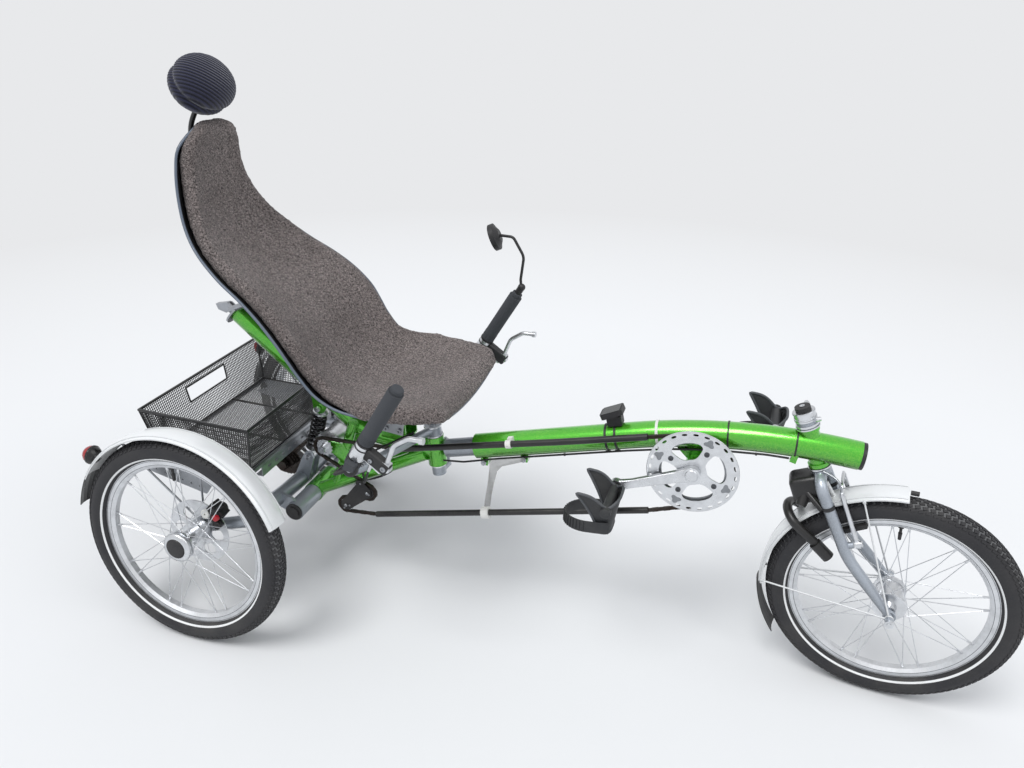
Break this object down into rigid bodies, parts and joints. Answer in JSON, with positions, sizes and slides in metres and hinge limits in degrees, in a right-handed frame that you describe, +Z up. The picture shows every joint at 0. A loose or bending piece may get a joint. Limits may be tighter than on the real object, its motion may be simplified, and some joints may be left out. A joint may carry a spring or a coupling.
{
  "type": "recumbent tricycle",
  "caption": "Pedalled recumbent tricycle with a reclined moulded seat, cambered rear wheels on a sprung swing frame and one steered front wheel.",
  "frame": {"origin": "middle of the machine's plan box at ground level, under the tyres", "axes": "+X forward along the machine, +Y to the rider's left, +Z up"},
  "size_m": [2.0662, 0.798, 1.2748],
  "materials": {
    "bare_alloy": "satin",
    "black_plastic": "matt",
    "black_steel": "satin",
    "bright_steel": "satin",
    "chain_steel": "oiled and rust-stained",
    "clear_plastic": "clear",
    "fender_silver": "gloss",
    "frame_paint": "gloss metallic",
    "gloss_black": "gloss",
    "grip_rubber": "matt",
    "headrest_cloth": "woven",
    "lamp_red": "gloss",
    "rim_silver": "satin",
    "seat_knit": "looped knit",
    "shell_black": "satin",
    "silver_paint": "satin metallic",
    "spring_black": "gloss",
    "tyre": "matt"
  },
  "bodies": {
    "frame": {"basket": "black_steel", "basket_rails": "bright_steel", "boom": "frame_paint", "boom_slide": "silver_paint", "brake_calipers": "black_plastic", "cassette": "chain_steel", "chain": "chain_steel", "chain_hanger": "clear_plastic", "chain_tensioner": "black_plastic", "chain_tubes": "black_plastic", "display_mount": "black_plastic", "end_plugs": "black_plastic", "fender_stays": "bright_steel", "frame_cables": "black_plastic", "gear_hub": "bare_alloy", "headrest": "headrest_cloth", "headrest_stem": "black_steel", "main_frame": "frame_paint", "rear_fenders": "fender_silver", "rear_lamps": "lamp_red", "rear_mudflaps": "gloss_black", "seat_brackets": "bright_steel", "seat_cushion": "seat_knit", "seat_shell": "shell_black", "shock_absorber": "bare_alloy", "shock_spring": "spring_black", "swing_frame": "silver_paint"},
    "rear_wheel_right": {"tyre_right": "tyre", "rim_right": "rim_silver", "hub_right": "bare_alloy"},
    "rear_wheel_left": {"tyre_left": "tyre", "rim_left": "rim_silver", "hub_left": "bare_alloy"},
    "front_wheel": {"tyre_front": "tyre", "rim_front": "rim_silver", "hub_front": "bare_alloy"},
    "fork": {"fork": "silver_paint", "steering_clamp": "bare_alloy", "wheel_lock": "black_plastic", "front_fender": "fender_silver", "front_mudflap": "black_plastic", "front_brake": "bare_alloy", "fork_trim": "black_plastic"},
    "handlebar": {"handlebar": "silver_paint", "grips": "grip_rubber", "brake_levers": "bare_alloy", "mirror": "black_plastic", "handlebar_cables": "black_plastic"},
    "steering_rod": {"steering_rod": "bright_steel"},
    "cranks": {"cranks": "bare_alloy", "chainring": "bare_alloy"},
    "pedal_right": {"pedal_right": "black_plastic"},
    "pedal_left": {"pedal_left": "black_plastic"}
  },
  "joints": [
    {"name": "rear_wheel_right_spin", "type": "hinge", "parent": "frame", "child": "rear_wheel_right", "pos_m": [-0.759, -0.3535, 0.25748], "axis": [0, -0.9969, 0.0785], "continuous": true},
    {"name": "rear_wheel_left_spin", "type": "hinge", "parent": "frame", "child": "rear_wheel_left", "pos_m": [-0.759, 0.3535, 0.25748], "axis": [0, -0.9969, -0.0785], "continuous": true},
    {"name": "handlebar_steer", "type": "hinge", "parent": "frame", "child": "handlebar", "pos_m": [-0.2825, 0, 0.4], "axis": [-0.1305, 0, 0.9914], "range_deg": [-25, 35]},
    {"name": "steering_rod_turn", "type": "hinge", "parent": "handlebar", "child": "steering_rod", "pos_m": [-0.27883, 0.04981, 0.40553], "axis": [-0.1305, 0, 0.9914], "range_deg": [-35, 25]},
    {"name": "fork_steer", "type": "hinge", "parent": "frame", "child": "fork", "pos_m": [0.561, 0, 0.59], "axis": [-0.4067, 0, 0.9135], "range_deg": [-25, 35]},
    {"name": "front_wheel_spin", "type": "hinge", "parent": "fork", "child": "front_wheel", "pos_m": [0.77579, -0.00535, 0.25791], "axis": [-0.0796, -0.9962, -0.0354], "continuous": true},
    {"name": "crank_turn", "type": "hinge", "parent": "frame", "child": "cranks", "pos_m": [0.329, 0, 0.51], "axis": [0, 1, 0], "continuous": true},
    {"name": "pedal_right_turn", "type": "hinge", "parent": "cranks", "child": "pedal_right", "pos_m": [0.17395, -0.09, 0.45357], "axis": [0, 1, 0], "continuous": true},
    {"name": "pedal_left_turn", "type": "hinge", "parent": "cranks", "child": "pedal_left", "pos_m": [0.48405, 0.09, 0.56643], "axis": [0, 1, 0], "continuous": true}
  ],
  "couplings": [
    {"joint": "fork_steer", "follows": "handlebar_steer", "ratio": 1},
    {"joint": "steering_rod_turn", "follows": "handlebar_steer", "ratio": -1}
  ]
}
